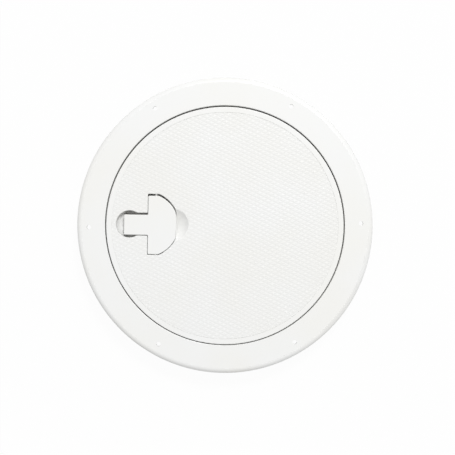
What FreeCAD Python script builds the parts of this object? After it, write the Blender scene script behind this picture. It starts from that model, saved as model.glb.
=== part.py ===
import FreeCAD, Part
import math
import os

# Round flush deck inspection plate: a moulded flange ring with a neck that drops through the
# deck, and a non-slip lid that presses down on a rubber gasket. Two hooks hold the far side of
# the lid and two spring clips snap under the ledge beside the handle. The flush handle is a
# rocker: its tongue is pressed into the thumb dish, and its grip rises over the finger dish.
#
# Millimetres, +Z up. The origin is the centre of the flange's underside, which is the deck
# surface. The handle lies towards -X and the hooks towards +X.

V = FreeCAD.Vector
UP = V(0, 0, 1)
ORIGIN = V(0, 0, 0)

# Round openings and widths that set the plate's size, from the middle outwards
clear_opening_diameter = 203.2
lid_seat_width = 6.7
lid_gap = 1.05
flange_width = 25.65

# Flange ring
flange_thickness = 5.0
flange_edge_radius = 4.4
bore_edge_radius = 0.6
screw_edge_distance = 10.9
screw_count = 6
screw_first_angle = 1.8
screw_hole_diameter = 4.0
sealant_groove_width = 3.0
sealant_groove_depth = 1.0
sealant_groove_offset = 3.0
neck_wall = 4.4
neck_depth = 25.0
ledge_overhang = 3.4
ledge_thickness = 3.0
skirt_wall = 3.0

# Lid, and how far off the middle of the bore it rests
lid_play = 0.3
lid_edge_radius = 0.8
lid_plate_thickness = 3.5
rim_width = 5.0
rim_depth = 11.8
border_width = 4.9
field_recess = 0.4
rib_count = 8
rib_width = 2.0
rib_height = 6.0
hub_diameter = 24.0

# Lid gasket
gasket_width = 3.8
gasket_height = 2.7
gasket_groove_depth = 1.5
gasket_side_clearance = 0.1
gasket_edge_radius = 0.5

# Far-side hooks of the lid
hook_angle = 8.5
hook_width = 10.0
hook_thickness = 3.5
hook_foot_height = 2.6
hook_overhang = 1.4
hook_clearance = 1.5
hook_side_clearance = 0.6

# Handle opening, measured from the lid's edge to the thumb dish and on from there
thumb_inset = 21.3
dish_spacing = 39.7
thumb_dish_radius = 12.4
thumb_dish_depth = 8.0
thumb_floor_radius = 5.0
finger_dish_radius = 14.6
finger_dish_depth = 6.0
grip_centre_from_thumb = 15.7
grip_opening_radius = 29.65
grip_opening_half_height = 27.8
shoulder_from_thumb = 16.4
tongue_slot_half_width = 10.4
opening_corner_radius = 1.2
opening_depth = 13.0
shelf_from_pivot = 12.5
shelf_clearance = 1.8

# Deep pocket that the tongue swings down into
handle_travel = 30.0
tip_gap = 0.2
pocket_clearance = 0.8
pocket_floor_radius = 2.0

# Handle
handle_thickness = 3.0
handle_play = 0.6
handle_gap = 0.95
grip_end_gap = 1.15
shoulder_gap = 0.4
shoulder_swing_clearance = 0.3
tongue_side_gap = 1.2
tongue_tip_from_thumb = 5.1
grip_edge_from_thumb = 42.7
grip_edge_radius = 71.0
grip_edge_gap = 0.55
handle_edge_radius = 0.5
handle_corner_radius = 1.0
pivot_from_thumb = 24.0
pivot_depth = 4.0
boss_diameter = 7.0
boss_end_inset = 1.6
grip_groove_width = 3.0
grip_groove_depth = 0.8

# Pivot pin
pin_diameter = 3.0
pin_seat_length = 3.0
pin_running_clearance = 0.05
pin_end_clearance = 0.2

# Two moulded pegs that the closed grip rests on
rest_peg_diameter = 4.0
rest_peg_reach = 9.0
rest_peg_half_spacing = 19.0
rest_peg_clearance = 0.1

# Return spring
spring_wire = 0.6
spring_inner_clearance = 0.4
spring_turns = 4
spring_pitch = 0.66
spring_pocket_clearance = 0.5
spring_handle_leg = 9.5
spring_leg_clearance = 0.1

# Bowl under the handle, its pad on the lid and its gasket
pad_depth = 6.0
bowl_wall = 2.2
bowl_flange_margin = 0.35
bowl_flange_thickness = 2.2
bowl_gasket_thickness = 1.0
bowl_lip_width = 1.2
bowl_lip_clearance = 0.3
bowl_rim_clearance = 0.3
bowl_to_rib_clearance = 1.0
keeper_clearance = 0.1

# Pan head screws of the bowl and of the spring clips
screw_shank_diameter = 2.9
screw_head_diameter = 5.4
screw_head_height = 1.8
screw_grip = 4.6
screw_side_clearance = 0.05
screw_tip_clearance = 0.6
screw_head_clearance = 0.25

# Spring clips
clip_angle = 30.0
clip_width = 10.0
clip_thickness = 0.6
clip_post_size = 12.0
clip_post_inset = 4.1
clip_post_height = 8.5
clip_nose_depth = 2.2
clip_bend_radius = 0.5
clip_ledge_clearance = 0.3
clip_tail_drop = 2.8

# Heights and radii that several pieces share
top = flange_thickness
clear_radius = clear_opening_diameter / 2
lid_radius = clear_radius + lid_seat_width
bore_radius = lid_radius + lid_gap
flange_radius = bore_radius + flange_width
screw_circle_radius = flange_radius - screw_edge_distance
rim_bottom = top - rim_depth
plate_bottom = top - lid_plate_thickness
rim_inner = lid_radius - rim_width
ledge_top = rim_bottom - (gasket_height - gasket_groove_depth)
ledge_bottom = ledge_top - ledge_thickness
skirt_inner = clear_radius + ledge_overhang
gasket_middle = lid_radius - rim_width / 2
pad_bottom = plate_bottom - pad_depth
bowl_top = pad_bottom - bowl_gasket_thickness
thumb_x = -(lid_radius - thumb_inset)
finger_x = thumb_x + dish_spacing
grip_x = thumb_x + grip_centre_from_thumb
shoulder_x = thumb_x + shoulder_from_thumb
pivot_x = thumb_x + pivot_from_thumb
pivot_z = top - pivot_depth
tip_x = thumb_x - tongue_tip_from_thumb
slot_left = tip_x - tip_gap
grip_edge_x = thumb_x + grip_edge_from_thumb
pin_radius = pin_diameter / 2
grip_half_height = grip_opening_half_height - grip_end_gap
grip_radius = grip_opening_radius - handle_gap
well_wall = min(grip_opening_half_height, math.sqrt(grip_opening_radius ** 2 - (pivot_x - grip_x) ** 2))
grip_wall = min(grip_half_height, math.sqrt(grip_radius ** 2 - (pivot_x - grip_x) ** 2))
pin_half_length = well_wall + pin_seat_length
pan_floor = top - opening_depth
shelf_x = pivot_x + shelf_from_pivot
shelf_floor = top - handle_thickness - shelf_clearance
pocket_floor = pivot_z - (pivot_x - tip_x) * math.sin(math.radians(handle_travel)) - pocket_clearance
pocket_right = pivot_x - (pivot_z - pan_floor) / math.tan(math.radians(handle_travel))
handle_low = top - handle_thickness
screw_row = bowl_wall + screw_head_diameter / 2 + screw_head_clearance
bowl_flange_width = screw_row + screw_head_diameter / 2 + bowl_flange_margin
clip_seat = plate_bottom - clip_post_height
clip_post_reach = clear_radius - clip_post_inset


def cylinder(radius, low, high, x=0.0, y=0.0):
    """An upright round bar."""
    return Part.makeCylinder(radius, high - low, V(x, y, low))


def block(x_low, x_high, half_width, low, high):
    """An upright block that straddles the X axis."""
    return Part.makeBox(x_high - x_low, 2 * half_width, high - low, V(x_low, -half_width, low))


def crossbar(radius, y_low, y_high, x=pivot_x, z=pivot_z):
    """A round bar along Y, on the handle's pivot axis unless told otherwise."""
    return Part.makeCylinder(radius, y_high - y_low, V(x, y_low, z), V(0, 1, 0))


def turned(points):
    """A solid turned about Z from (radius, height) corners."""
    corners = [V(radius, 0, height) for radius, height in points]
    face = Part.Face(Part.makePolygon(corners + corners[:1]))
    return face.revolve(ORIGIN, UP, 360)


def at_angle(shape, degrees):
    """A copy of the shape turned about the lid's axis."""
    return shape.rotated(ORIGIN, UP, degrees)


def circles(shape, radius, height):
    """The round edges about Z of one radius at one height."""
    found = []
    for edge in shape.Edges:
        if edge.Curve.TypeId != "Part::GeomCircle":
            continue
        centre = edge.Curve.Center
        on_axis = math.hypot(centre.x, centre.y) < 1e-6
        if on_axis and abs(edge.Curve.Radius - radius) < 1e-4 and abs(centre.z - height) < 1e-4:
            found.append(edge)
    return found


def upright_edges(shape):
    """The straight vertical edges of a shape."""
    found = []
    for edge in shape.Edges:
        if edge.Curve.TypeId == "Part::GeomLine" and abs(edge.tangentAt(edge.FirstParameter).z) > 0.999:
            found.append(edge)
    return found


def edges_at(shape, height):
    """The edges that lie wholly at one height."""
    found = []
    for edge in shape.Edges:
        box = edge.BoundBox
        if abs(box.ZMin - height) < 1e-5 and abs(box.ZMax - height) < 1e-5:
            found.append(edge)
    return found


def scooped_dish(x, radius, depth):
    """A round dish in the lid's top, open upwards: the cap of a ball."""
    ball_radius = (radius ** 2 + depth ** 2) / (2 * depth)
    ball = Part.makeSphere(ball_radius, V(x, 0, top - depth + ball_radius))
    dish = ball.common(block(x - radius, x + radius, radius, top - depth - 1, top))
    return dish.fuse(cylinder(radius, top - 0.01, top + 1, x))


def round_dish(x, radius, depth, floor_radius):
    """A round dish in the lid's top, open upwards: a flat floor that curves up into the wall."""
    dish = cylinder(radius, top - depth, top + 1, x)
    return dish.makeFillet(floor_radius, edges_at(dish, top - depth))


def grip_plan(radius, half_height, left, low, high):
    """The grip's outline as a block: a disc with its left side and its two ends cut straight."""
    disc = cylinder(radius, low, high, grip_x)
    return disc.common(block(left, grip_x + radius, half_height, low, high))


def handle_opening(low, high, grow=0.0):
    """The T-shaped opening for the handle, without its dishes, grown sideways by one distance."""
    left = shoulder_x - grow
    grip = grip_plan(grip_opening_radius + grow, grip_opening_half_height + grow, left, low, high)
    edge_radius = grip_edge_radius + grip_edge_gap + grow
    grip = grip.common(cylinder(edge_radius, low, high, grip_edge_x - grip_edge_radius))
    slot = block(slot_left - grow, pivot_x, tongue_slot_half_width + grow, low, high)
    opening = grip.fuse(slot).removeSplitter()
    return opening.makeFillet(opening_corner_radius, upright_edges(opening))


def deep_well(low, high, grow=0.0):
    """The deep part of the opening: left of the grip's shelf, and the thumb dish beside the tongue."""
    well = handle_opening(low, high, grow)
    well = well.common(block(slot_left - grow, shelf_x + grow, lid_radius, low, high))
    lobes = cylinder(thumb_dish_radius + grow, low, high, thumb_x)
    lobes = lobes.common(block(slot_left - grow, pivot_x, lid_radius, low, high))
    return well.fuse(lobes).removeSplitter()


def tongue_pocket(low, high, grow=0.0):
    """The deep end of the well under the tongue, with a rounded floor."""
    pocket = block(slot_left - grow, pocket_right + grow, tongue_slot_half_width + grow, low, high)
    pocket = pocket.makeFillet(opening_corner_radius, upright_edges(pocket))
    return pocket.makeFillet(pocket_floor_radius, edges_at(pocket, low))


def seat_plan(low, high, grow, outer_radius):
    """The outline that the lid's pad, the bowl's flange and its gasket share."""
    plan = handle_opening(low, high, grow)
    plan = plan.fuse(cylinder(thumb_dish_radius + grow, low, high, thumb_x))
    plan = plan.fuse(cylinder(finger_dish_radius + grow, low, high, finger_x))
    return plan.common(cylinder(outer_radius, low, high)).removeSplitter()


def dish_screw(dish_x, dish_radius, degrees):
    """A screw place on the circle round a dish."""
    reach = dish_radius + screw_row
    angle = math.radians(degrees)
    return dish_x + reach * math.cos(angle), reach * math.sin(angle)


def grip_screw(degrees):
    """A screw place on the arc round the grip."""
    reach = grip_opening_radius + screw_row
    angle = math.radians(degrees)
    return grip_x + reach * math.cos(angle), reach * math.sin(angle)


def bowl_screw_places():
    """Where the bowl's screws stand, mirrored pair by pair."""
    shoulder = (shoulder_x - screw_row, (grip_opening_half_height + tongue_slot_half_width) / 2)
    thumb = dish_screw(thumb_x, thumb_dish_radius, 125)
    finger = dish_screw(finger_x, finger_dish_radius, 40)
    pairs = [thumb, shoulder, grip_screw(56), finger]
    places = []
    for x, y in pairs:
        places.append((x, y))
        places.append((x, -y))
    return places


def clip_screw_places():
    """Where the screws of the two spring clips stand, one under each post."""
    reach = clip_post_reach - clip_post_size / 2
    places = []
    for side in (1, -1):
        angle = math.radians(180 - side * clip_angle)
        places.append((reach * math.cos(angle), reach * math.sin(angle)))
    return places


def pan_head_screw(x, y, seat, clamped):
    """A pan head screw that points up: its head is under the seat and it holds what is clamped."""
    low = seat - screw_head_height
    head = cylinder(screw_head_diameter / 2, low, seat)
    head = head.makeFillet(screw_head_height * 0.6, circles(head, screw_head_diameter / 2, low))
    tip = seat + clamped + screw_grip
    shank = cylinder(screw_shank_diameter / 2, seat - screw_head_height / 2, tip)
    shank = shank.makeChamfer(screw_shank_diameter / 4, circles(shank, screw_shank_diameter / 2, tip))
    return head.fuse(shank).removeSplitter().translated(V(x, y, 0))


def screw_hole(x, y, low, depth):
    """The hole for a screw's shank."""
    return cylinder(screw_shank_diameter / 2 + screw_side_clearance, low, low + depth, x, y)


def make_flange_ring():
    """The moulded flange with its neck, ledge, gasket groove and skirt."""
    skirt_outer = skirt_inner + skirt_wall
    neck_outer = bore_radius + neck_wall
    groove_low = neck_outer + sealant_groove_offset
    groove_high = groove_low + sealant_groove_width
    seal_low = gasket_middle - gasket_width / 2 - gasket_side_clearance
    seal_high = gasket_middle + gasket_width / 2 + gasket_side_clearance
    ring = turned([
        (clear_radius, ledge_top), (seal_low, ledge_top), (seal_low, ledge_top - gasket_groove_depth),
        (seal_high, ledge_top - gasket_groove_depth), (seal_high, ledge_top), (bore_radius, ledge_top),
        (bore_radius, top), (flange_radius, top), (flange_radius, 0), (groove_high, 0),
        (groove_high, sealant_groove_depth), (groove_low, sealant_groove_depth), (groove_low, 0),
        (neck_outer, 0), (neck_outer, ledge_bottom), (skirt_outer, ledge_bottom),
        (skirt_outer, -neck_depth), (skirt_inner, -neck_depth), (skirt_inner, ledge_bottom),
        (clear_radius, ledge_bottom),
    ])
    ring = ring.makeFillet(flange_edge_radius, circles(ring, flange_radius, top))
    ring = ring.makeFillet(bore_edge_radius, circles(ring, bore_radius, top))
    for number in range(screw_count):
        angle = math.radians(screw_first_angle + number * 360 / screw_count)
        x = screw_circle_radius * math.cos(angle)
        y = screw_circle_radius * math.sin(angle)
        ring = ring.cut(cylinder(screw_hole_diameter / 2, -1, top + 1, x, y))
    return ring


def make_lid_gasket():
    """The square rubber ring in the ledge's groove."""
    low = ledge_top - gasket_groove_depth
    inner = gasket_middle - gasket_width / 2
    outer = gasket_middle + gasket_width / 2
    high = low + gasket_height
    ring = turned([(inner, low), (outer, low), (outer, high), (inner, high)])
    return ring.makeFillet(gasket_edge_radius, circles(ring, inner, high) + circles(ring, outer, high))


def lid_ribs():
    """Radial ribs, and the hub that they meet in, under the lid."""
    low = plate_bottom - rib_height
    hub = cylinder(hub_diameter / 2, low, plate_bottom + 1).cut(
        cylinder(hub_diameter / 2 - rib_width, low, plate_bottom + 1))
    ribs = hub
    for number in range(rib_count):
        rib = block(hub_diameter / 2 - rib_width / 2, rim_inner + 1, rib_width / 2, low, plate_bottom + 1)
        ribs = ribs.fuse(at_angle(rib, number * 360 / rib_count))
    kept_clear = seat_plan(low, plate_bottom + 2, bowl_flange_width + bowl_to_rib_clearance, lid_radius)
    return ribs.cut(kept_clear)


def lid_hook():
    """One far-side hook: a leg down through the opening and a foot under the ledge."""
    leg_outer = clear_radius - hook_side_clearance
    foot_top = ledge_bottom - hook_clearance
    foot_bottom = foot_top - hook_foot_height
    leg = block(leg_outer - hook_thickness, leg_outer, hook_width / 2, foot_bottom, plate_bottom + 1)
    foot_reach = clear_radius + hook_overhang
    foot = block(leg_outer - hook_thickness, foot_reach, hook_width / 2, foot_bottom, foot_top)
    return leg.fuse(foot).removeSplitter()


def clip_post():
    """The solid post that a spring clip is screwed under."""
    inner = clip_post_reach - clip_post_size
    return block(inner, clip_post_reach, clip_post_size / 2, clip_seat, plate_bottom + 1)


def pin_seat(side, low):
    """The open-bottomed slot in the lid's pad that holds one end of the pivot pin."""
    depth = pin_seat_length + pin_end_clearance
    y_low = well_wall - 1 if side > 0 else -well_wall - depth
    radius = pin_radius + pin_running_clearance
    bar = crossbar(radius, y_low, y_low + depth + 1)
    slot = Part.makeBox(2 * radius, depth + 1, pivot_z - low, V(pivot_x - radius, y_low, low))
    return bar.fuse(slot)


def shoulder_relief():
    """Room in the opening's left wall, below its edge, for the grip's shoulders as they swing."""
    reach = math.hypot(pivot_x - shoulder_x - shoulder_gap, pivot_depth - handle_edge_radius)
    return crossbar(reach + shoulder_swing_clearance, -well_wall, well_wall)


def make_lid_cover():
    """The moulded lid: plate, raised border, rim, pad, ribs, hooks and posts."""
    field_radius = lid_radius - border_width
    lid = turned([
        (0, plate_bottom), (rim_inner, plate_bottom), (rim_inner, rim_bottom), (lid_radius, rim_bottom),
        (lid_radius, top), (field_radius, top), (field_radius, top - field_recess), (0, top - field_recess),
    ])
    lid = lid.makeFillet(lid_edge_radius, circles(lid, lid_radius, top))
    lid = lid.fuse(lid_ribs())
    lid = lid.fuse(seat_plan(pad_bottom, plate_bottom + 1, bowl_flange_width, rim_inner + 1))
    for side in (1, -1):
        lid = lid.fuse(at_angle(lid_hook(), side * hook_angle))
        lid = lid.fuse(at_angle(clip_post(), 180 - side * clip_angle))
    lid = lid.cut(handle_opening(shelf_floor, top + 1))
    lid = lid.cut(deep_well(pad_bottom - 1, top + 1))
    lid = lid.cut(shoulder_relief())
    lid = lid.cut(round_dish(thumb_x, thumb_dish_radius, thumb_dish_depth, thumb_floor_radius))
    lid = lid.cut(scooped_dish(finger_x, finger_dish_radius, finger_dish_depth))
    for side in (1, -1):
        lid = lid.cut(pin_seat(side, pad_bottom - 1))
    depth = screw_grip + screw_tip_clearance
    for x, y in bowl_screw_places():
        lid = lid.cut(screw_hole(x, y, pad_bottom - 1, depth + 1))
    for x, y in clip_screw_places():
        lid = lid.cut(screw_hole(x, y, clip_seat - 1, depth + 1))
    return lid.removeSplitter()


def bowl_seat(low, high):
    """The flat ring that the bowl's flange and gasket share, without its openings."""
    return seat_plan(low, high, bowl_flange_width, rim_inner - bowl_rim_clearance)


def bowl_hollow():
    """Everything that is open to the sky inside the bowl."""
    return deep_well(pan_floor, top + 1).fuse(tongue_pocket(pocket_floor, top + 1))


def rest_peg(side):
    """The peg that holds the closed grip flush."""
    x = pivot_x + rest_peg_reach
    high = handle_low - rest_peg_clearance
    return cylinder(rest_peg_diameter / 2, pan_floor - bowl_wall / 2, high, x, side * rest_peg_half_spacing)


def keeper(side, low):
    """The lug on the bowl that closes a pin seat from below."""
    y_low = well_wall if side > 0 else -well_wall - pin_seat_length
    high = pivot_z - pin_radius - keeper_clearance
    half = pin_radius - keeper_clearance
    return Part.makeBox(2 * half, pin_seat_length, high - low, V(pivot_x - half, y_low, low))


def make_handle_bowl():
    """The closed bowl under the handle, with a screwed flange, a lip and two pin keepers."""
    flange_low = bowl_top - bowl_flange_thickness
    shell = deep_well(pan_floor - bowl_wall, bowl_top, bowl_wall)
    shell = shell.fuse(tongue_pocket(pocket_floor - bowl_wall, bowl_top, bowl_wall))
    shell = shell.fuse(deep_well(bowl_top - bowl_wall, pad_bottom, bowl_lip_width))
    bowl = shell.fuse(bowl_seat(flange_low, bowl_top)).cut(bowl_hollow())
    for side in (1, -1):
        bowl = bowl.fuse(keeper(side, bowl_top - bowl_flange_thickness / 2))
        bowl = bowl.fuse(rest_peg(side))
    for x, y in bowl_screw_places():
        bowl = bowl.cut(screw_hole(x, y, flange_low - 1, bowl_flange_thickness + 2))
    return bowl.removeSplitter()


def make_bowl_gasket():
    """The flat rubber gasket between the lid's pad and the bowl's flange, outside the bowl's lip."""
    lip = deep_well(bowl_top - 1, pad_bottom + 1, bowl_lip_width + bowl_lip_clearance)
    gasket = bowl_seat(bowl_top, pad_bottom).cut(lip)
    for side in (1, -1):
        gasket = gasket.cut(pin_seat(side, bowl_top - 1))
    for x, y in bowl_screw_places():
        gasket = gasket.cut(screw_hole(x, y, bowl_top - 1, bowl_gasket_thickness + 2))
    return gasket.removeSplitter()


def make_lift_handle():
    """The one-piece rocker handle: tongue, half-round grip and two pivot bosses."""
    low = handle_low
    left = shoulder_x + shoulder_gap
    grip = grip_plan(grip_radius, grip_half_height, left, low, top)
    grip = grip.common(cylinder(grip_edge_radius, low, top, grip_edge_x - grip_edge_radius))
    tongue_half = tongue_slot_half_width - tongue_side_gap
    tongue = block(tip_x, pivot_x, tongue_half, low, top)
    handle = grip.fuse(tongue).removeSplitter()
    handle = handle.makeFillet(handle_corner_radius, upright_edges(handle))
    handle = handle.makeFillet(handle_edge_radius, edges_at(handle, top))
    handle = handle.common(crossbar(pivot_x - tip_x, -grip_opening_radius, grip_opening_radius))
    boss_end = grip_wall - boss_end_inset
    pocket_half = spring_turns * spring_pitch / 2 + spring_wire + spring_pocket_clearance
    handle = handle.fuse(crossbar(boss_diameter / 2, -boss_end, boss_end))
    pocket_radius = pin_radius + spring_inner_clearance + spring_wire + spring_pocket_clearance
    below = block(pivot_x - boss_diameter, pivot_x + boss_diameter, pocket_half, pivot_z - boss_diameter, low)
    handle = handle.cut(below)
    handle = handle.cut(crossbar(pocket_radius, -pocket_half, pocket_half))
    handle = handle.cut(crossbar(pin_radius + pin_running_clearance, -well_wall, well_wall))
    groove_half = finger_dish_radius - grip_groove_width
    groove = crossbar(grip_groove_width / 2, -groove_half, groove_half, grip_edge_x - grip_groove_width * 1.5,
                      low + grip_groove_depth - grip_groove_width / 2)
    return handle.cut(groove).removeSplitter().translated(V(0, -handle_play, 0))


def make_pivot_pin():
    """The stainless pin, chamfered at both ends."""
    pin = crossbar(pin_radius, -pin_half_length, pin_half_length)
    ends = [edge for edge in pin.Edges if edge.Curve.TypeId == "Part::GeomCircle"]
    return pin.makeChamfer(pin_radius / 4, ends)


def make_return_spring():
    """The torsion spring round the pin: one leg under the tongue, one on the bowl's floor."""
    wire = spring_wire / 2
    radius = pin_radius + spring_inner_clearance + wire
    rise = handle_low - wire - spring_leg_clearance - pivot_z
    slope = math.asin(rise / math.hypot(spring_handle_leg, radius)) + math.atan2(radius, spring_handle_leg)
    start = math.radians(270) - slope
    floor_angle = math.radians(225)
    turns = spring_turns + (floor_angle - start) / (2 * math.pi)
    helix = Part.makeHelix(spring_pitch, spring_pitch * turns, radius)
    tangent = V(0, radius, spring_pitch / (2 * math.pi)).normalize()
    section = Part.Wire(Part.makeCircle(wire, V(radius, 0, 0), tangent))
    coil = Part.Wire(helix).makePipeShell([section], True, True)
    coil = coil.rotated(ORIGIN, UP, math.degrees(start))

    def coil_point(angle, height):
        return V(radius * math.cos(angle), radius * math.sin(angle), height)

    floor_end = coil_point(floor_angle, spring_pitch * turns)
    floor_way = V(-math.sin(floor_angle), math.cos(floor_angle), 0)
    floor_drop = pivot_z + floor_end.y - wire - pan_floor - spring_leg_clearance
    floor_leg = Part.makeCylinder(wire, floor_drop / abs(floor_way.y), floor_end, floor_way)
    handle_end = coil_point(start, 0)
    handle_way = V(math.sin(start), -math.cos(start), 0)
    handle_leg = Part.makeCylinder(wire, spring_handle_leg, handle_end, handle_way)
    knuckles = [Part.makeSphere(wire, floor_end), Part.makeSphere(wire, handle_end)]
    spring = coil.fuse([floor_leg, handle_leg] + knuckles)
    spring = spring.translated(V(0, 0, -spring_pitch * turns / 2)).rotated(ORIGIN, V(1, 0, 0), 90)
    return spring.translated(V(pivot_x, -handle_play, pivot_z))


def bent_strip(points, thickness, bend_radius, width):
    """A strip of sheet, centred on the X axis, from its middle line in (radius, height)."""
    middle = [V(radius, 0, height) for radius, height in points]
    left_side = []
    right_side = []
    bends = []
    for number, here in enumerate(middle):
        before = here - middle[number - 1] if number > 0 else middle[1] - here
        after = middle[number + 1] - here if number < len(middle) - 1 else here - middle[number - 1]
        before.normalize()
        after.normalize()
        along = (before + after).normalize()
        across = V(-along.z, 0, along.x) * (thickness / 2 / along.dot(before))
        left_side.append(here + across)
        right_side.append(here - across)
        if 0 < number < len(middle) - 1:
            turns_left = before.x * after.z - before.z * after.x > 0
            bends.append((here + across, bend_radius if turns_left else bend_radius + thickness))
            bends.append((here - across, bend_radius + thickness if turns_left else bend_radius))
    outline = left_side + right_side[::-1]
    strip = Part.Face(Part.makePolygon(outline + outline[:1])).extrude(V(0, width, 0))
    for corner, radius in bends:
        centre = corner + V(0, width / 2, 0)
        edge = min(strip.Edges, key=lambda candidate: candidate.BoundBox.Center.distanceToPoint(centre))
        strip = strip.makeFillet(radius, [edge])
    return strip.translated(V(0, -width / 2, 0))


def make_spring_clip(side):
    """A stainless leaf spring: screwed under its post, its nose snaps under the ledge."""
    half = clip_thickness / 2
    height = clip_seat - half
    bend_x = clear_radius - clip_nose_depth
    nose_x = clear_radius + clip_nose_depth - half
    nose_height = ledge_bottom - clip_nose_depth - half - clip_ledge_clearance
    points = [
        (clip_post_reach - clip_post_size, height), (bend_x, height),
        (bend_x, nose_height + nose_x - bend_x), (nose_x, nose_height),
        (bend_x, nose_height - clip_tail_drop),
    ]
    leaf = bent_strip(points, clip_thickness, clip_bend_radius, clip_width)
    leaf = leaf.cut(screw_hole(clip_post_reach - clip_post_size / 2, 0, clip_seat - 2, 4))
    return at_angle(leaf, 180 - side * clip_angle)


lid_pieces = {
    "lid_cover": make_lid_cover(),
    "handle_bowl": make_handle_bowl(),
    "bowl_gasket": make_bowl_gasket(),
    "lift_handle": make_lift_handle(),
    "pivot_pin": make_pivot_pin(),
    "return_spring": make_return_spring(),
    "spring_clip_left": make_spring_clip(-1),
    "spring_clip_right": make_spring_clip(1),
}
for index, (x, y) in enumerate(bowl_screw_places()):
    seat = bowl_top - bowl_flange_thickness
    lid_pieces["bowl_screw_%d" % (index + 1)] = pan_head_screw(x, y, seat, pad_bottom - seat)
for side, (x, y) in zip(("right", "left"), clip_screw_places()):
    lid_pieces["clip_screw_" + side] = pan_head_screw(x, y, clip_seat - clip_thickness, clip_thickness)

pieces = {
    "flange_ring": make_flange_ring(),
    "lid_gasket": make_lid_gasket(),
}
for name, shape in lid_pieces.items():
    pieces[name] = shape.translated(V(0, -lid_play, 0))

os.makedirs("parts", exist_ok=True)
for name, shape in pieces.items():
    shape.exportStep(os.path.join("parts", name + ".step"))
    print("%-18s solids %d  valid %s  volume %.1f" % (name, len(shape.Solids), shape.isValid(), shape.Volume))
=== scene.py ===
"""Dresses the round deck inspection plate: finishes, non-slip field, screws and studio."""
import logging
import math
import sys
from dataclasses import dataclass, field
from enum import Enum
from typing import Any, Optional, Union

import bmesh
import bpy
from mathutils import Matrix, Vector


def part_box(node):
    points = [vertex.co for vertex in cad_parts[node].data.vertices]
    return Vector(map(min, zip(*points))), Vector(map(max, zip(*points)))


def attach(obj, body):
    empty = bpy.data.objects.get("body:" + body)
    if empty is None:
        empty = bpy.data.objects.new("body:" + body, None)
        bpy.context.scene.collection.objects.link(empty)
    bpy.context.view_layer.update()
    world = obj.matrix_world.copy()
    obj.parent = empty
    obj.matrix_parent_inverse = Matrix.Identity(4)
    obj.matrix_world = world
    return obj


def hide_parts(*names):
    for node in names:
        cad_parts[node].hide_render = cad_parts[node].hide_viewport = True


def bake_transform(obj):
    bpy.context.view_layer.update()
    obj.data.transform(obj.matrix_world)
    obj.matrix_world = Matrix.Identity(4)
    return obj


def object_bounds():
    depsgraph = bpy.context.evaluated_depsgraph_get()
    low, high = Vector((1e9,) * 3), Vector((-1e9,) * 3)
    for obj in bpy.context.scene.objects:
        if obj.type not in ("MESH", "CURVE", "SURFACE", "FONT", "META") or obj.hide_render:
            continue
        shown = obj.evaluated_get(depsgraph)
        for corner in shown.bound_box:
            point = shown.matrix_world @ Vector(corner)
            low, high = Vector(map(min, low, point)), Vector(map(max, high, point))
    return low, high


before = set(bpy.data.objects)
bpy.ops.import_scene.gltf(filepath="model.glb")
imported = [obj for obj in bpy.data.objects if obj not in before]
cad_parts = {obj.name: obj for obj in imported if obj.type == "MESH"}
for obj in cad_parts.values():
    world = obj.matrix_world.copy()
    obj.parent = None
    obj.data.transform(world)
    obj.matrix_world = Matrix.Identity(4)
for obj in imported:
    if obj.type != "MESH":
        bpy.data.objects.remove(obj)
cad_low, cad_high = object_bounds()

log = logging.getLogger("deck_plate")
MM = 0.001
MERGE_DISTANCE = 1e-7
CUT_TOLERANCE = 1e-8
Colour = tuple[float, float, float]
WHITE: Colour = (1.0, 1.0, 1.0)
Value = Union["Signal", float, tuple, bpy.types.NodeSocket]


class Signal:
    """A shader socket that takes part in sums, so that shader maths reads as maths."""

    def __init__(self, graph: "NodeSet", socket: bpy.types.NodeSocket) -> None:
        """Wraps one output socket.

        Args:
            graph: The nodes that own the socket.
            socket: The output socket.
        """
        self.graph = graph
        self.socket = socket

    def _sum(self, operation: str, first: Value, second: Value) -> "Signal":
        """Adds one Math node.

        Args:
            operation: The Math node's operation.
            first: Its first value.
            second: Its second value.

        Returns:
            The node's result.
        """
        return self.graph.out("ShaderNodeMath", {"operation": operation}, {0: first, 1: second})

    def __add__(self, other: Value) -> "Signal":
        """This plus the other."""
        return self._sum("ADD", self, other)

    def __radd__(self, other: Value) -> "Signal":
        """The other plus this."""
        return self._sum("ADD", other, self)

    def __sub__(self, other: Value) -> "Signal":
        """This minus the other."""
        return self._sum("SUBTRACT", self, other)

    def __rsub__(self, other: Value) -> "Signal":
        """The other minus this."""
        return self._sum("SUBTRACT", other, self)

    def __mul__(self, other: Value) -> "Signal":
        """This times the other."""
        return self._sum("MULTIPLY", self, other)

    def __rmul__(self, other: Value) -> "Signal":
        """The other times this."""
        return self._sum("MULTIPLY", other, self)

    def __pow__(self, other: Value) -> "Signal":
        """This to the power of the other."""
        return self._sum("POWER", self, other)

    def smooth(self, low: float, high: float) -> "Signal":
        """A smooth step from 0 at the low value to 1 at the high value.

        Args:
            low: The value that gives 0.
            high: The value that gives 1.

        Returns:
            The step, from 0 to 1.
        """
        settings = {"interpolation_type": "SMOOTHSTEP"}
        inputs = {"Value": self, "From Min": low, "From Max": high}
        return self.graph.out("ShaderNodeMapRange", settings, inputs)


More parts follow.
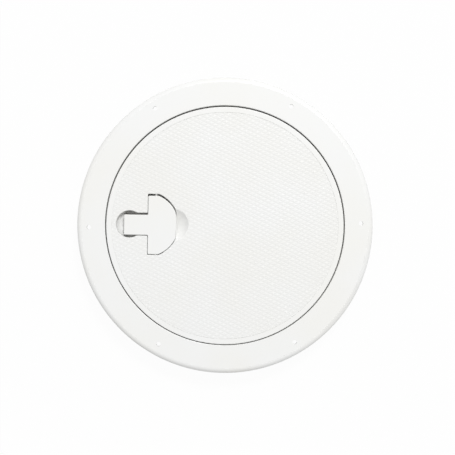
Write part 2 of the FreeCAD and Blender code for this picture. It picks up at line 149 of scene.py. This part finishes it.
class NodeSet:
    """A tree of shader nodes, of a material or of the sky."""

    def __init__(self, tree: bpy.types.NodeTree) -> None:
        """Starts from an empty tree.

        Args:
            tree: The tree, which is emptied.
        """
        self.tree = tree
        self.tree.nodes.clear()

    def node(self, kind: str, settings: Optional[dict[str, Any]] = None,
             inputs: Optional[dict[Any, Value]] = None) -> bpy.types.Node:
        """Adds any node.

        Args:
            kind: The node's type.
            settings: Its settings, set before its sockets.
            inputs: Values or links by socket name or number.

        Returns:
            The new node.
        """
        made = self.tree.nodes.new(kind)
        for name, value in (settings or {}).items():
            setattr(made, name, value)
        for name, value in (inputs or {}).items():
            socket = made.inputs[name]
            if isinstance(value, Signal):
                self.tree.links.new(value.socket, socket)
            elif isinstance(value, bpy.types.NodeSocket):
                self.tree.links.new(value, socket)
            else:
                socket.default_value = value
        return made

    def out(self, kind: str, settings: Optional[dict[str, Any]] = None,
            inputs: Optional[dict[Any, Value]] = None, output: Union[int, str] = 0) -> Signal:
        """Adds any node and gives one of its outputs.

        Args:
            kind: The node's type.
            settings: Its settings, set before its sockets.
            inputs: Values or links by socket name or number.
            output: The output's name or number.

        Returns:
            That output as a signal.
        """
        return Signal(self, self.node(kind, settings, inputs).outputs[output])

    def looked_at(self) -> Signal:
        """1 where the camera sees a surface, or sees it in a mirror or through glass."""
        rays = self.node("ShaderNodeLightPath").outputs
        seen = Signal(self, rays["Is Camera Ray"]) + rays["Is Glossy Ray"] + rays["Is Transmission Ray"]
        return self.out("ShaderNodeMath", {"operation": "MINIMUM"}, {0: seen, 1: 1.0})


class Graph(NodeSet):
    """The nodes of one material, with a Principled shader at the end."""

    def __init__(self, name: str) -> None:
        """Makes the material.

        Args:
            name: The material's name.
        """
        self.material = bpy.data.materials.new(name)
        self.material.use_nodes = True
        super().__init__(self.material.node_tree)
        self.place = self.out("ShaderNodeTexCoord", output="Object")
        axes = self.node("ShaderNodeSeparateXYZ", inputs={0: self.place})
        self.x, self.y, self.z = (Signal(self, axes.outputs[axis]) for axis in "XYZ")

    def noise(self, scale: float, detail: float = 2.0, place: Optional[Signal] = None) -> Signal:
        """Cloudy noise on the piece's own coordinates.

        Args:
            scale: Clouds in a metre.
            detail: Finer layers on top.
            place: Coordinates, the piece's own unless given.

        Returns:
            The noise, from 0 to 1.
        """
        inputs = {"Vector": place or self.place, "Scale": scale, "Detail": detail, "Roughness": 0.5}
        return self.out("ShaderNodeTexNoise", inputs=inputs)

    def stretched(self, scale: tuple[float, float, float]) -> Signal:
        """The piece's coordinates stretched along its axes.

        Args:
            scale: The factor for each axis.

        Returns:
            The stretched coordinates.
        """
        return self.out("ShaderNodeMapping", inputs={"Vector": self.place, "Scale": scale})

    def radius(self, x: float = 0.0, y: float = 0.0) -> Signal:
        """The distance from an upright axis.

        Args:
            x: The axis's place.
            y: The axis's place.

        Returns:
            The distance in metres.
        """
        across = self.x - x
        along = self.y - y
        return (across * across + along * along) ** 0.5

    def blend(self, share: Value, first: Value, second: Value) -> Signal:
        """Mixes two colours.

        Args:
            share: How much of the second shows.
            first: The first colour.
            second: The second colour.

        Returns:
            The mixed colour.
        """
        return self.out("ShaderNodeMix", {"data_type": "RGBA"}, {0: share, 6: first, 7: second}, 2)

    def bump(self, height: Signal, distance: float, strength: float, under: Optional[Signal] = None) -> Signal:
        """Turns a height into a surface direction.

        Args:
            height: The height, from 0 to 1.
            distance: What a height of 1 stands for, in metres.
            strength: How strongly it shows.
            under: A bump that lies below this one.

        Returns:
            The surface direction.
        """
        inputs: dict[Any, Value] = {"Strength": strength, "Distance": distance, "Height": height}
        if under is not None:
            inputs["Normal"] = under
        return self.out("ShaderNodeBump", inputs=inputs)

    def finish(self, sockets: dict[str, Value]) -> bpy.types.Material:
        """Ends the material in a Principled shader.

        Args:
            sockets: The shader's sockets by name.

        Returns:
            The material.
        """
        shader = self.node("ShaderNodeBsdfPrincipled", inputs=sockets)
        self.node("ShaderNodeOutputMaterial", inputs={"Surface": shader.outputs[0]})
        return self.material


def rgba(colour: Colour) -> tuple[float, float, float, float]:
    """A colour with full alpha."""
    return (*colour, 1.0)


@dataclass(frozen=True)
class EjectorMarks:
    """The round marks that a mould's ejector pins leave on the hidden side, on circles about the plate's axis.

    Attributes:
        circles: The circles' radii, in metres.
        count: How many marks each circle has.
        mark_radius: A mark's radius, in metres.
        below: The marks show only under this height, in metres.
        rim_width: How wide a mark's soft rim is, in metres.
        fade: The height over which the marks fade out, in metres.
    """

    circles: tuple[float, ...]
    count: int = 8
    mark_radius: float = 2.6 * MM
    below: float = 2.0 * MM
    rim_width: float = 0.2 * MM
    fade: float = 0.5 * MM

    def depth(self, graph: Graph) -> Signal:
        """How deep the marks are pressed in.

        Args:
            graph: The material's nodes.

        Returns:
            The depth, from 0 to 1.
        """
        step = math.tau / self.count
        turn = graph.out("ShaderNodeMath", {"operation": "ARCTAN2"}, {0: graph.y, 1: graph.x})
        folded = graph.out("ShaderNodeMath", {"operation": "PINGPONG"}, {0: turn + math.tau, 1: step / 2})
        radius = graph.radius()
        aside = graph.out("ShaderNodeMath", {"operation": "SINE"}, {0: folded}) * radius
        along = graph.out("ShaderNodeMath", {"operation": "COSINE"}, {0: folded}) * radius
        total: Value = 0.0
        for circle in self.circles:
            off = along - circle
            distance = (off * off + aside * aside) ** 0.5
            total = distance.smooth(self.mark_radius + self.rim_width, self.mark_radius) + total
        hidden = graph.z.smooth(self.below + self.fade, self.below)
        return total * hidden


@dataclass(frozen=True)
class HollowPaintedShade:
    """Painted shade in the hollows between the non-slip diamonds, darker towards their foot.

    Attributes:
        foot: The height of the hollows, in metres.
        crown: The height of the diamonds' tops, in metres.
        share: How much of the plastic's colour the painted shade replaces in the hollows, from 0 to 1.
    """

    foot: float
    crown: float
    share: float = 0.32

    def cover(self, graph: Graph) -> Signal:
        """How much of the plastic's colour the painted shade replaces, more the deeper the hollow.

        Args:
            graph: The material's nodes.

        Returns:
            The painted shade's share, from 0 to 1.
        """
        return graph.z.smooth(self.crown, self.foot) * self.share


@dataclass(frozen=True)
class MouldedPlastic:
    """White weatherproof plastic: satin, finely textured by its mould, a little scuffed.

    Attributes:
        name: The material's name.
        colour: The plastic's own colour.
        aged_shade: What cloudy ageing multiplies the colour by.
        roughness: How matt it is.
        grain: Depth of the mould's texture, in metres.
        grain_scale: Grains in a metre.
        scuffs: How strongly hairline scuffs show, from 0 to 1.
        dust_and_shade_colour: The colour of specks on it, and of the painted shade in its hollows.
        marks: The ejector marks on its hidden side, if it has any.
        hollow_shade: The painted shade in its hollows, if it has any.
    """

    name: str
    colour: Colour = (0.885, 0.888, 0.882)
    aged_shade: Colour = (0.985, 0.978, 0.955)
    roughness: float = 0.42
    grain: float = 0.00002
    grain_scale: float = 2600.0
    scuffs: float = 0.35
    dust_and_shade_colour: Colour = (0.78, 0.78, 0.765)
    marks: Optional[EjectorMarks] = None
    hollow_shade: Optional[HollowPaintedShade] = None

    def material(self) -> bpy.types.Material:
        """Makes the material."""
        graph = Graph(self.name)
        cloud = graph.noise(14.0, 3.0).smooth(0.3, 0.7)
        speck = graph.noise(900.0, 1.0).smooth(0.62, 0.8)
        aged = tuple(part * shade for part, shade in zip(self.colour, self.aged_shade))
        colour = graph.blend(cloud, rgba(self.colour), rgba(aged))
        colour = graph.blend(speck * 0.12, colour, rgba(self.dust_and_shade_colour))
        # Painted shade: the hollows between the non-slip diamonds are darkened towards their foot, standing in for
        # the shade that falls there.
        if self.hollow_shade is not None:
            colour = graph.blend(self.hollow_shade.cover(graph), colour, rgba(self.dust_and_shade_colour))
        lines = graph.noise(60.0, 4.0, graph.stretched((1.0, 14.0, 1.0))).smooth(0.64, 0.72)
        cross = graph.noise(60.0, 4.0, graph.stretched((16.0, 1.5, 1.0))).smooth(0.66, 0.74)
        scuff = (lines + cross) * graph.noise(9.0).smooth(0.5, 0.75) * self.scuffs
        grain = graph.noise(self.grain_scale, 2.0)
        flow = graph.noise(55.0, 1.0)
        skin = graph.bump(flow, 0.00025, 0.12)
        skin = graph.bump(grain - scuff * 0.6, self.grain, 0.5, skin)
        if self.marks is not None:
            skin = graph.bump(1.0 - self.marks.depth(graph), 0.00015, 0.8, skin)
        rough = self.roughness + (cloud - 0.5) * 0.08 + scuff * 0.12 + (grain - 0.5) * 0.1
        return graph.finish({
            "Base Color": colour, "Roughness": rough, "Normal": skin, "IOR": 1.5, "Specular IOR Level": 0.45,
        })


@dataclass(frozen=True)
class SealRubber:
    """Black rubber: matt, with a faint bloom and fine lines along its length."""

    name: str = "seal_rubber"
    colour: Colour = (0.022, 0.022, 0.024)
    bloom_colour: Colour = (0.07, 0.07, 0.072)

    def material(self) -> bpy.types.Material:
        """Makes the material."""
        graph = Graph(self.name)
        bloom = graph.noise(120.0, 4.0).smooth(0.45, 0.75)
        colour = graph.blend(bloom * 0.5, rgba(self.colour), rgba(self.bloom_colour))
        lines = graph.noise(900.0, 2.0, graph.stretched((1.0, 1.0, 4.0)))
        rough = 0.62 + bloom * 0.2
        skin = graph.bump(lines, 0.00003, 0.6)
        return graph.finish({"Base Color": colour, "Roughness": rough, "Normal": skin, "Specular IOR Level": 0.35})


class Polish(Enum):
    """How a piece of stainless steel is finished."""

    BRUSHED = "brushed"
    TUMBLED = "tumbled"


@dataclass(frozen=True)
class StainlessSteel:
    """Stainless steel, with fine lines along the piece or a tumbled skin, and a little water staining."""

    name: str
    polish: Polish
    colour: Colour = (0.60, 0.60, 0.585)
    roughness: float = 0.28
    stain_colour: Colour = (0.47, 0.455, 0.42)

    def material(self) -> bpy.types.Material:
        """Makes the material."""
        graph = Graph(self.name)
        if self.polish is Polish.BRUSHED:
            grain = graph.noise(700.0, 3.0, graph.stretched((0.06, 1.0, 1.0)))
        else:
            grain = graph.noise(2200.0, 2.0)
        stain = graph.noise(160.0, 3.0).smooth(0.5, 0.72)
        colour = graph.blend(stain * 0.35, rgba(self.colour), rgba(self.stain_colour))
        rough = self.roughness + (grain - 0.5) * 0.22 + stain * 0.12
        skin = graph.bump(grain, 0.00002, 0.35)
        return graph.finish({"Base Color": colour, "Roughness": rough, "Metallic": 1.0, "Normal": skin})


@dataclass(frozen=True)
class StudioFloor:
    """The pale floor: white to the camera, with the plate's shadow left on it."""

    name: str = "studio_floor"
    whiteness: float = 0.96
    dark_paper: Colour = (0.80, 0.80, 0.80)
    light_paper: Colour = (0.83, 0.83, 0.83)

    def material(self) -> bpy.types.Material:
        """Makes the material."""
        graph = Graph(self.name)
        cloud = graph.noise(1.5, 2.0)
        paper = graph.blend(cloud, rgba(self.dark_paper), rgba(self.light_paper))
        matt = graph.node("ShaderNodeBsdfDiffuse", inputs={"Color": paper})
        glow = graph.node("ShaderNodeEmission", inputs={"Color": rgba(WHITE), "Strength": 1.0})
        share = graph.looked_at() * self.whiteness
        mixed = graph.node("ShaderNodeMixShader", inputs={0: share, 1: matt.outputs[0], 2: glow.outputs[0]})
        graph.node("ShaderNodeOutputMaterial", inputs={"Surface": mixed.outputs[0]})
        return graph.material


def dress(node: str, material: bpy.types.Material) -> None:
    """Gives a CAD node its finish.

    Args:
        node: The node's name.
        material: Its material.
    """
    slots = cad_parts[node].data.materials
    if slots:
        for index in range(len(slots)):
            slots[index] = material
    else:
        slots.append(material)
    log.info("%s dressed in %s", node, material.name)


def make_piece(name: str, mesh: bmesh.types.BMesh, material: bpy.types.Material) -> bpy.types.Object:
    """Turns a bmesh into a piece.

    Args:
        name: The piece's name.
        mesh: Its shape, which is used up.
        material: Its finish.

    Returns:
        The new object.
    """
    data = bpy.data.meshes.new(name)
    mesh.to_mesh(data)
    mesh.free()
    data.materials.append(material)
    piece = bpy.data.objects.new(name, data)
    bpy.context.scene.collection.objects.link(piece)
    log.info("%s: %d faces", name, len(data.polygons))
    return piece


def add_piece(name: str, mesh: bmesh.types.BMesh, body: str,
              material: bpy.types.Material) -> bpy.types.Object:
    """Turns a bmesh into a piece that rides on a body.

    Args:
        name: The piece's name.
        mesh: Its shape, which is used up.
        body: The CAD body that it rides on.
        material: Its finish.

    Returns:
        The new object.
    """
    piece = make_piece(name, mesh, material)
    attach(piece, body)
    log.info("%s rides on %s", name, body)
    return piece


def arc(x: float, radius: float, first: float, last: float, steps: int) -> list[Vector]:
    """Points on an arc seen from above, about a centre on the handle's line.

    Args:
        x: The centre's place.
        radius: The arc's radius.
        first: Its first angle, in degrees.
        last: Its last angle, in degrees.
        steps: How many runs it has.

    Returns:
        The points in order.
    """
    angles = [math.radians(first + (last - first) * step / steps) for step in range(steps + 1)]
    return [Vector((x + radius * math.cos(angle), radius * math.sin(angle), 0.0)) for angle in angles]


@dataclass
class HandleOpening:
    """The handle's opening in the lid, seen from above, in metres."""

    thumb_x: float = -87.0 * MM
    finger_x: float = -47.3 * MM
    grip_x: float = -71.3 * MM
    shoulder_x: float = -70.6 * MM
    pivot_x: float = -63.0 * MM
    thumb_dish_radius: float = 12.4 * MM
    finger_dish_radius: float = 14.6 * MM
    grip_radius: float = 29.65 * MM
    grip_half_height: float = 27.8 * MM
    slot_half_width: float = 10.4 * MM
    corner_radius: float = 1.2 * MM
    corner_steps: int = 5
    thumb_steps: int = 64
    finger_steps: int = 72
    grip_steps: int = 44
    clearance: float = 0.25 * MM

    def outlines(self) -> list[list[Vector]]:
        """The opening as convex outlines that overlap, each anticlockwise.

        Returns:
            The outlines of both dishes, the grip, the slot and the wedges at the two rounded inner corners.
        """
        gap = self.clearance
        thumb = self.thumb_dish_radius + gap
        finger = self.finger_dish_radius + gap
        grip = self.grip_radius + gap
        half = self.grip_half_height + gap
        slot = self.slot_half_width + gap
        left = self.shoulder_x - gap
        end = math.degrees(math.asin(half / grip))
        grip_arc = arc(self.grip_x, grip, -end, end, self.grip_steps)
        grip_points = [Vector((left, -half, 0.0)), *grip_arc, Vector((left, half, 0.0))]
        slot_points = [Vector((x, y, 0.0)) for x, y in (
            (self.thumb_x, -slot), (self.pivot_x, -slot), (self.pivot_x, slot), (self.thumb_x, slot))]
        outlines = [arc(self.thumb_x, thumb, 0, 360, self.thumb_steps)[:-1],
                    arc(self.finger_x, finger, 0, 360, self.finger_steps)[:-1], grip_points, slot_points]
        reach = self.corner_radius - gap
        for side in (1, -1):
            corner = Vector((left, side * slot, 0.0))
            rounding = [corner + Vector((point.x, side * (reach + point.y), 0.0))
                        for point in arc(-reach, reach, 0, -90, self.corner_steps)]
            for first, second in zip(rounding, rounding[1:]):
                outlines.append([corner, first, second] if side > 0 else [corner, second, first])
        return outlines


@dataclass
class NonSlipField:
    """Raised diamonds that fill the lid's recess, cut off at its border and round the handle's opening."""

    pitch: float = 3.51 * MM
    first_angle: float = -24.3
    second_angle: float = 37.4
    slope_width: float = 1.2 * MM
    sole: float = 4.57 * MM
    foot: float = 4.87 * MM
    crown: float = 4.97 * MM
    edge_bevel: float = 0.1 * MM
    radius: float = 103.2 * MM
    rim_sides: int = 240
    rest_shift: float = -0.3 * MM
    opening: HandleOpening = field(default_factory=HandleOpening)

    def slanted_grid(self) -> bmesh.types.BMesh:
        """A flat net of diamonds, large enough for the whole field.

        Returns:
            The net, at the height of the diamonds' foot.
        """
        between = math.radians(self.second_angle - self.first_angle)
        side = self.pitch / math.sin(between)
        cells = 2 * math.ceil(self.radius / self.pitch) + 2
        net = bmesh.new()
        bmesh.ops.create_grid(net, x_segments=cells, y_segments=cells, size=cells * side / 2)
        slant = Matrix.Identity(4)
        for column, degrees in enumerate((self.first_angle, self.second_angle)):
            slant[0][column] = math.cos(math.radians(degrees))
            slant[1][column] = math.sin(math.radians(degrees))
        slant[2][3] = self.foot
        bmesh.ops.transform(net, matrix=slant, verts=net.verts)
        far = [face for face in net.faces if face.calc_center_median().xy.length > self.radius + self.pitch]
        bmesh.ops.delete(net, geom=far, context="FACES")
        return net

    def raise_diamonds(self, net: bmesh.types.BMesh) -> None:
        """Raises each cell of the net to a diamond with sloped, softly bevelled sides.

        Args:
            net: The flat net.
        """
        tops = list(net.faces)
        bmesh.ops.inset_individual(net, faces=tops, thickness=self.slope_width, depth=self.crown - self.foot,
                                   use_even_offset=True)
        rims = list({edge for face in tops for edge in face.edges})
        bmesh.ops.bevel(net, geom=rims, offset=self.edge_bevel, segments=2, profile=0.5, affect="EDGES",
                        material=-1)

    def trim_to_border(self, net: bmesh.types.BMesh) -> None:
        """Cuts off what lies outside the field's round border.

        Args:
            net: The raised net.
        """
        margin = 2 * self.pitch
        for step in range(self.rim_sides):
            angle = math.tau * step / self.rim_sides
            outwards = Vector((math.cos(angle), math.sin(angle), 0.0))
            near = [face for face in net.faces
                    if face.calc_center_median().dot(outwards) > self.radius - margin]
            geom = list({part for face in near for part in (face, *face.edges, *face.verts)})
            bmesh.ops.bisect_plane(net, geom=geom, dist=CUT_TOLERANCE, plane_co=outwards * self.radius,
                                   plane_no=outwards, clear_outer=True)

    def cut_opening(self, net: bmesh.types.BMesh, outline: list[Vector]) -> None:
        """Cuts a convex outline out of the net.

        Args:
            net: The raised net.
            outline: The outline's corners, anticlockwise.
        """
        middle = sum(outline, Vector()) / len(outline)
        reach = max((corner - middle).length for corner in outline) + 2 * self.pitch
        within = [face for face in net.faces if (face.calc_center_median() - middle).xy.length < reach]
        for start, end in zip(outline, outline[1:] + outline[:1]):
            along = end - start
            outwards = Vector((along.y, -along.x, 0.0)).normalized()
            geom = list({part for face in within for part in (face, *face.edges, *face.verts)})
            cut = bmesh.ops.bisect_plane(net, geom=geom, dist=CUT_TOLERANCE, plane_co=start, plane_no=outwards)
            faces = [part for part in cut["geom"] if isinstance(part, bmesh.types.BMFace)]
            within = [face for face in faces if (face.calc_center_median() - start).dot(outwards) < 0]
        bmesh.ops.delete(net, geom=within, context="FACES")

    def close_sides(self, net: bmesh.types.BMesh) -> None:
        """Gives the cut diamonds upright walls down into the lid's recess.

        Args:
            net: The trimmed net.
        """
        rim = [edge for edge in net.edges if edge.is_boundary]
        walls = bmesh.ops.extrude_edge_only(net, edges=rim)
        low = [part for part in walls["geom"] if isinstance(part, bmesh.types.BMVert)]
        flat = Matrix.Translation((0.0, 0.0, self.sole)) @ Matrix.Diagonal((1.0, 1.0, 0.0, 1.0))
        bmesh.ops.transform(net, matrix=flat, verts=low)
        bmesh.ops.remove_doubles(net, verts=net.verts, dist=MERGE_DISTANCE)
        bmesh.ops.recalc_face_normals(net, faces=net.faces)
        if sum(face.normal.z * face.calc_area() for face in net.faces) < 0:
            bmesh.ops.reverse_faces(net, faces=net.faces)

    def build(self, body: str, slot: str, material: bpy.types.Material) -> bpy.types.Object:
        """Builds the field.

        Args:
            body: The body that it rides on.
            slot: Its material slot; not used.
            material: Its finish.

        Returns:
            The piece.
        """
        net = self.slanted_grid()
        self.raise_diamonds(net)
        self.trim_to_border(net)
        for outline in self.opening.outlines():
            self.cut_opening(net, outline)
        self.close_sides(net)
        bmesh.ops.translate(net, verts=net.verts, vec=(0.0, self.rest_shift, 0.0))
        return add_piece("non_slip_field", net, body, material)


@dataclass
class CrossHeadScrew:
    """A pan head screw seen from below: its head with a cross recess, in place of its CAD node."""

    node: str
    head_radius: float = 2.7 * MM
    head_height: float = 1.9 * MM
    recess_reach: float = 1.35 * MM
    recess_half_width: float = 0.38 * MM
    recess_depth: float = 1.1 * MM
    flat_share: float = 0.62
    head_outline: tuple[tuple[float, float], ...] = ((0.86, 0.16), (0.97, 0.42), (1.0, 0.7), (1.0, 1.0))
    shank_share: float = 0.535
    recess_taper: float = 0.6
    flat_normal: float = 0.98
    height_tolerance: float = 0.001 * MM
    sides: int = 40

    def build(self, body: str, material: bpy.types.Material) -> bpy.types.Object:
        """Builds the screw where its node is.

        Args:
            body: The body that it rides on.
            material: Its finish.

        Returns:
            The piece.
        """
        low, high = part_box(self.node)
        middle = Vector(((low.x + high.x) / 2, (low.y + high.y) / 2, 0.0))
        shape = bmesh.new()
        profile = [(self.flat_share, 0.0), *self.head_outline]
        ring = [shape.verts.new((self.head_radius * reach, 0.0, low.z + self.head_height * rise))
                for reach, rise in profile]
        seat = low.z + self.head_height
        shank = self.head_radius * self.shank_share
        ring += [shape.verts.new((shank, 0.0, height)) for height in (seat, high.z)]
        runs = [shape.edges.new(pair) for pair in zip(ring, ring[1:])]
        bmesh.ops.spin(shape, geom=ring + runs, cent=(0, 0, 0), axis=(0, 0, 1), angle=math.tau,
                       steps=self.sides, use_merge=True)
        bmesh.ops.remove_doubles(shape, verts=shape.verts, dist=MERGE_DISTANCE)
        self.cap_tip(shape, high.z)
        self.sink_cross(shape, low.z)
        bmesh.ops.recalc_face_normals(shape, faces=shape.faces)
        for face in shape.faces:
            face.smooth = abs(face.normal.z) < self.flat_normal
        bmesh.ops.translate(shape, verts=shape.verts, vec=middle)
        piece = add_piece(self.node + "_shown", shape, body, material)
        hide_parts(self.node)
        return piece

    def cap_tip(self, shape: bmesh.types.BMesh, height: float) -> None:
        """Closes the shank's end.

        Args:
            shape: The screw.
            height: The end's height.
        """
        open_edges = [edge for edge in shape.edges if edge.is_boundary]
        rim = [edge for edge in open_edges if abs(edge.verts[0].co.z - height) < self.height_tolerance]
        bmesh.ops.holes_fill(shape, edges=rim)

    def sink_cross(self, shape: bmesh.types.BMesh, height: float) -> None:
        """Closes the head's flat with a cross recess in it.

        Args:
            shape: The screw.
            height: The flat's height.
        """
        rim = [edge for edge in shape.edges if edge.is_boundary]
        reach, half = self.recess_reach, self.recess_half_width
        corners = []
        for turn in range(4):
            angle = math.pi / 2 * turn
            for along, across in ((reach, -half), (reach, half), (half, half)):
                x = along * math.cos(angle) - across * math.sin(angle)
                y = along * math.sin(angle) + across * math.cos(angle)
                corners.append(shape.verts.new((x, y, height)))
        cross = [shape.edges.new(pair) for pair in zip(corners, corners[1:] + corners[:1])]
        bmesh.ops.triangle_fill(shape, edges=rim + cross, use_beauty=True, normal=(0, 0, -1))
        inner = [face for face in shape.faces if set(face.verts) <= set(corners)]
        bmesh.ops.delete(shape, geom=inner, context="FACES_ONLY")
        sunk = bmesh.ops.extrude_edge_only(shape, edges=cross)
        deep = [part for part in sunk["geom"] if isinstance(part, bmesh.types.BMVert)]
        narrowed = Matrix.Diagonal((self.recess_taper, self.recess_taper, 0.0, 1.0))
        tapered = Matrix.Translation((0.0, 0.0, height + self.recess_depth)) @ narrowed
        bmesh.ops.transform(shape, matrix=tapered, verts=deep)
        floor = [part for part in sunk["geom"] if isinstance(part, bmesh.types.BMEdge)]
        bmesh.ops.holes_fill(shape, edges=[edge for edge in floor if edge.is_boundary])


@dataclass
class FlangeAssembly:
    """The flange ring, which is screwed to the deck, and the seal in its ledge."""

    plastic: MouldedPlastic = MouldedPlastic(
        "flange_plastic", roughness=0.4, marks=EjectorMarks((126.5 * MM,), 18, 2.0 * MM, 0.2 * MM))
    rubber: SealRubber = SealRubber()

    def build(self) -> None:
        """Dresses the ring and its seal."""
        dress("flange_ring", self.plastic.material())
        dress("lid_gasket", self.rubber.material())


@dataclass
class LidAssembly:
    """The lid with its non-slip field, the bowl under its handle, and what holds the bowl."""

    plastic: MouldedPlastic = MouldedPlastic(
        "lid_plastic", roughness=0.44, marks=EjectorMarks((34.0 * MM, 92.0 * MM), 16))
    bowl_plastic: MouldedPlastic = MouldedPlastic("bowl_plastic", roughness=0.36)
    rubber: SealRubber = SealRubber("bowl_seal_rubber")
    steel: StainlessSteel = StainlessSteel("stainless", Polish.TUMBLED)
    spring_steel: StainlessSteel = StainlessSteel("spring_steel", Polish.BRUSHED, (0.56, 0.56, 0.55), 0.24)
    screw_count: int = 8
    surface: NonSlipField = field(default_factory=NonSlipField)
    surface_colour: Colour = (0.877, 0.88, 0.874)

    def build(self) -> None:
        """Builds the field and the screws, and dresses the rest."""
        plastic = self.plastic.material()
        steel = self.steel.material()
        spring = self.spring_steel.material()
        dress("lid_cover", plastic)
        dress("handle_bowl", self.bowl_plastic.material())
        dress("bowl_gasket", self.rubber.material())
        # Painted shade for the hollows between the diamonds, darkest at their foot.
        hollow_shade = HollowPaintedShade(self.surface.foot, self.surface.crown)
        hollow_shaded_plastic = MouldedPlastic("non_slip_plastic", self.surface_colour, roughness=0.46, hollow_shade=hollow_shade)
        self.surface.build("lid", "lid_plastic", hollow_shaded_plastic.material())
        for side in ("left", "right"):
            dress("spring_clip_" + side, spring)
            CrossHeadScrew("clip_screw_" + side).build("lid", steel)
        for number in range(1, self.screw_count + 1):
            CrossHeadScrew("bowl_screw_%d" % number).build("lid", steel)


@dataclass
class ReturnSpring:
    """The torsion spring, whose one leg stays in the lid while the other turns with the handle."""

    node: str = "return_spring"
    leg_width: float = 0.65 * MM

    def build(self, fixed_body: str, turned_body: str, material: bpy.types.Material) -> bpy.types.Object:
        """Builds the spring on its node's own shape.

        Args:
            fixed_body: The body that the lower leg stays with, named only in the log.
            turned_body: The body that the upper leg turns with, named only in the log.
            material: Its finish.

        Returns:
            The piece.
        """
        low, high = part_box(self.node)
        wire = bmesh.new()
        wire.from_mesh(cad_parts[self.node].data)
        bmesh.ops.remove_doubles(wire, verts=wire.verts, dist=MERGE_DISTANCE)
        for face in wire.faces:
            face.smooth = True
        piece = make_piece(self.node + "_shown", wire, material)
        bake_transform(piece)
        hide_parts(self.node)
        log.info("%s twists from %s to %s", piece.name, fixed_body, turned_body)
        return piece


@dataclass
class LiftHandleAssembly:
    """The rocker handle, its pin and its return spring."""

    plastic: MouldedPlastic = MouldedPlastic("handle_plastic", roughness=0.38)
    steel: StainlessSteel = StainlessSteel("pin_steel", Polish.BRUSHED)
    spring_steel: StainlessSteel = StainlessSteel("spring_wire_steel", Polish.TUMBLED, (0.56, 0.56, 0.55), 0.24)
    spring: ReturnSpring = field(default_factory=ReturnSpring)

    def build(self) -> None:
        """Dresses the handle and its pin, and builds the spring."""
        dress("lift_handle", self.plastic.material())
        dress("pivot_pin", self.steel.material())
        self.spring.build("lid", "handle", self.spring_steel.material())


@dataclass
class Studio:
    """The pale floor, the soft light and the camera over the lid."""

    floor_height: float = -25.0 * MM
    floor_size: float = 6.0
    world_strength: float = 0.5
    key_energy: float = 120.2
    key_size: float = 1.1
    key_distance: float = 4.5
    key_azimuth: float = 71.6
    key_elevation: float = 60.0
    camera_height: float = 1.2
    camera_shift: tuple[float, float] = (2.37 * MM, -2.0 * MM)
    camera_roll: float = 1.0
    focal_length: float = 104.2
    sensor_width: float = 36.0

    def lay_floor(self) -> None:
        """Lays the floor."""
        shape = bmesh.new()
        bmesh.ops.create_grid(shape, x_segments=2, y_segments=2, size=self.floor_size / 2)
        bmesh.ops.translate(shape, verts=shape.verts, vec=(0.0, 0.0, self.floor_height))
        data = bpy.data.meshes.new("studio_floor")
        shape.to_mesh(data)
        shape.free()
        data.materials.append(StudioFloor().material())
        floor = bpy.data.objects.new("studio_floor", data)
        bpy.context.scene.collection.objects.link(floor)

    def hang_lights(self) -> None:
        """Sets an even pale sky and one large soft lamp beyond the plate's upper edge."""
        world = bpy.data.worlds.new("studio_sky")
        world.use_nodes = True
        nodes = NodeSet(world.node_tree)
        strength = self.world_strength + nodes.looked_at() * (1.0 - self.world_strength)
        sky = nodes.node("ShaderNodeBackground", inputs={"Color": rgba(WHITE), "Strength": strength})
        nodes.node("ShaderNodeOutputWorld", inputs={"Surface": sky.outputs[0]})
        bpy.context.scene.world = world
        lamp = bpy.data.lights.new("soft_key", "AREA")
        lamp.shape = "DISK"
        lamp.size = self.key_size
        lamp.energy = self.key_energy
        key = bpy.data.objects.new("soft_key", lamp)
        azimuth, elevation = math.radians(self.key_azimuth), math.radians(self.key_elevation)
        towards = Vector((math.cos(azimuth) * math.cos(elevation), math.sin(azimuth) * math.cos(elevation),
                          math.sin(elevation)))
        key.location = towards * self.key_distance
        key.rotation_euler = (-towards).to_track_quat("-Z", "Y").to_euler()
        bpy.context.scene.collection.objects.link(key)

    def place_camera(self, top: float) -> None:
        """Looks straight down on the lid.

        Args:
            top: The height of the plate's top.
        """
        data = bpy.data.cameras.new("top_camera")
        data.sensor_width = self.sensor_width
        data.lens = self.focal_length
        camera = bpy.data.objects.new("top_camera", data)
        camera.location = (*self.camera_shift, top + self.camera_height)
        camera.rotation_euler = (0.0, 0.0, math.radians(self.camera_roll))
        bpy.context.scene.collection.objects.link(camera)
        bpy.context.scene.camera = camera


def main() -> None:
    """Builds the plate's pieces in order, and then the studio."""
    logging.basicConfig(level=logging.INFO, stream=sys.stdout, format="%(name)s: %(message)s")
    FlangeAssembly().build()
    LidAssembly().build()
    LiftHandleAssembly().build()
    studio = Studio()
    studio.lay_floor()
    studio.hang_lights()
    studio.place_camera(cad_high.z)
    bpy.context.scene.view_settings.view_transform = "Standard"


if __name__ == "__main__":
    main()
